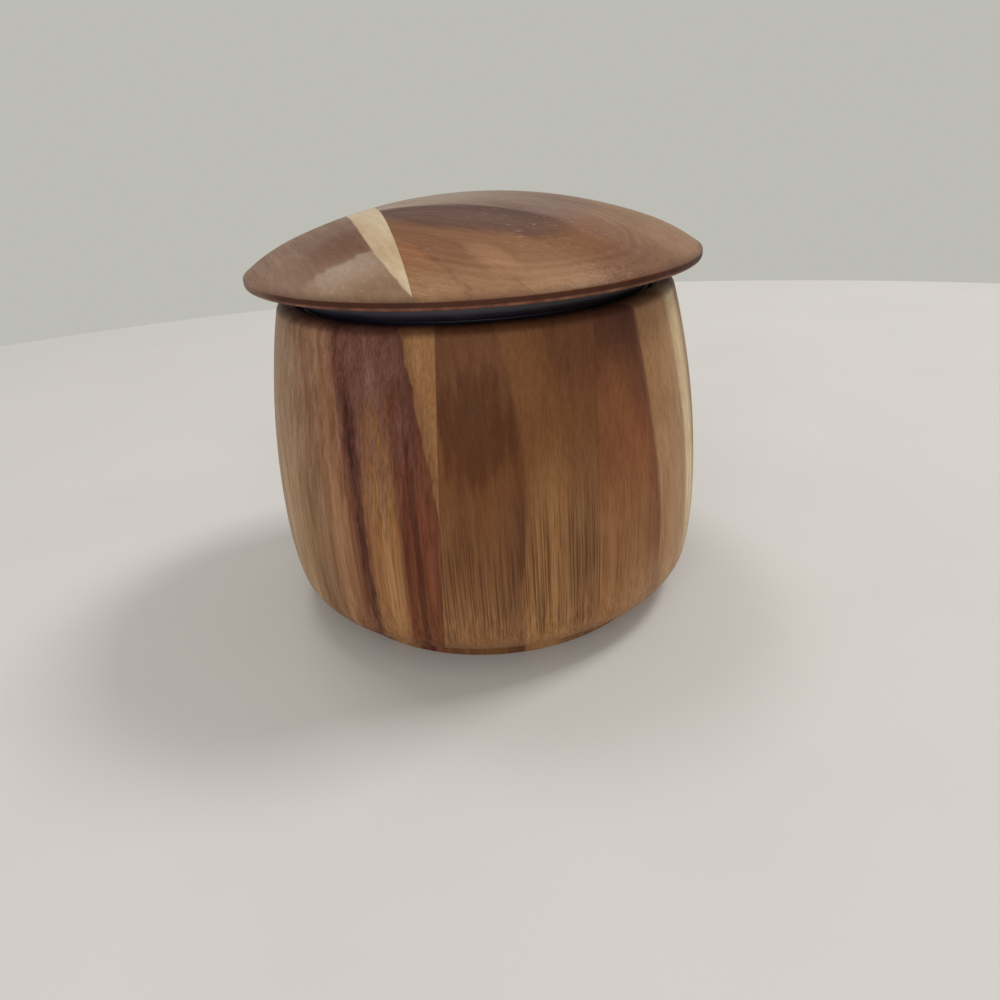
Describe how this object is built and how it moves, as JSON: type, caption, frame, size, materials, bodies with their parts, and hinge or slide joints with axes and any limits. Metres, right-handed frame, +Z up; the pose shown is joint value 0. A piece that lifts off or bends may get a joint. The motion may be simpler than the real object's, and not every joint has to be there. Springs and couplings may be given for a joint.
{
  "type": "wooden canister with lift-off lid",
  "caption": "Round-bellied turned wooden canister whose domed lid lifts off and seals with a silicone ring, for spice, sugar or salt.",
  "frame": {"origin": "centre of the foot's underside, where the canister stands", "axes": "+Z up along the turning axis, -Y towards the viewer, +X to the viewer's right, the glue seams run front to back"},
  "size_m": [0.12, 0.12, 0.1092],
  "materials": {
    "striped_board": "oiled acacia, purple-brown stripes",
    "brown_board": "oiled acacia, even dark brown",
    "russet_board": "oiled acacia, russet with a pale sapwood band",
    "grey_lid_board": "oiled acacia, greyed brown with a sapwood wedge",
    "figured_lid_board": "oiled acacia, warm brown cathedral figure",
    "plug_wood": "oiled acacia",
    "seal_silicone": "satin black silicone"
  },
  "bodies": {
    "canister": {"canister_board_left": "striped_board", "canister_board_middle": "brown_board", "canister_board_right": "russet_board"},
    "seal": {"seal_ring": "seal_silicone"},
    "lid": {"lid_board_left": "grey_lid_board", "lid_board_right": "figured_lid_board", "lid_plug": "plug_wood"}
  },
  "joints": [
    {"name": "lid_lift", "type": "slide", "parent": "canister", "child": "seal", "axis": [0, 0, 1], "range_m": [0, 0.1]},
    {"name": "lid_turn", "type": "hinge", "parent": "seal", "child": "lid", "pos_m": [0, 0, 0.0922], "axis": [0, 0, 1], "continuous": true}
  ]
}
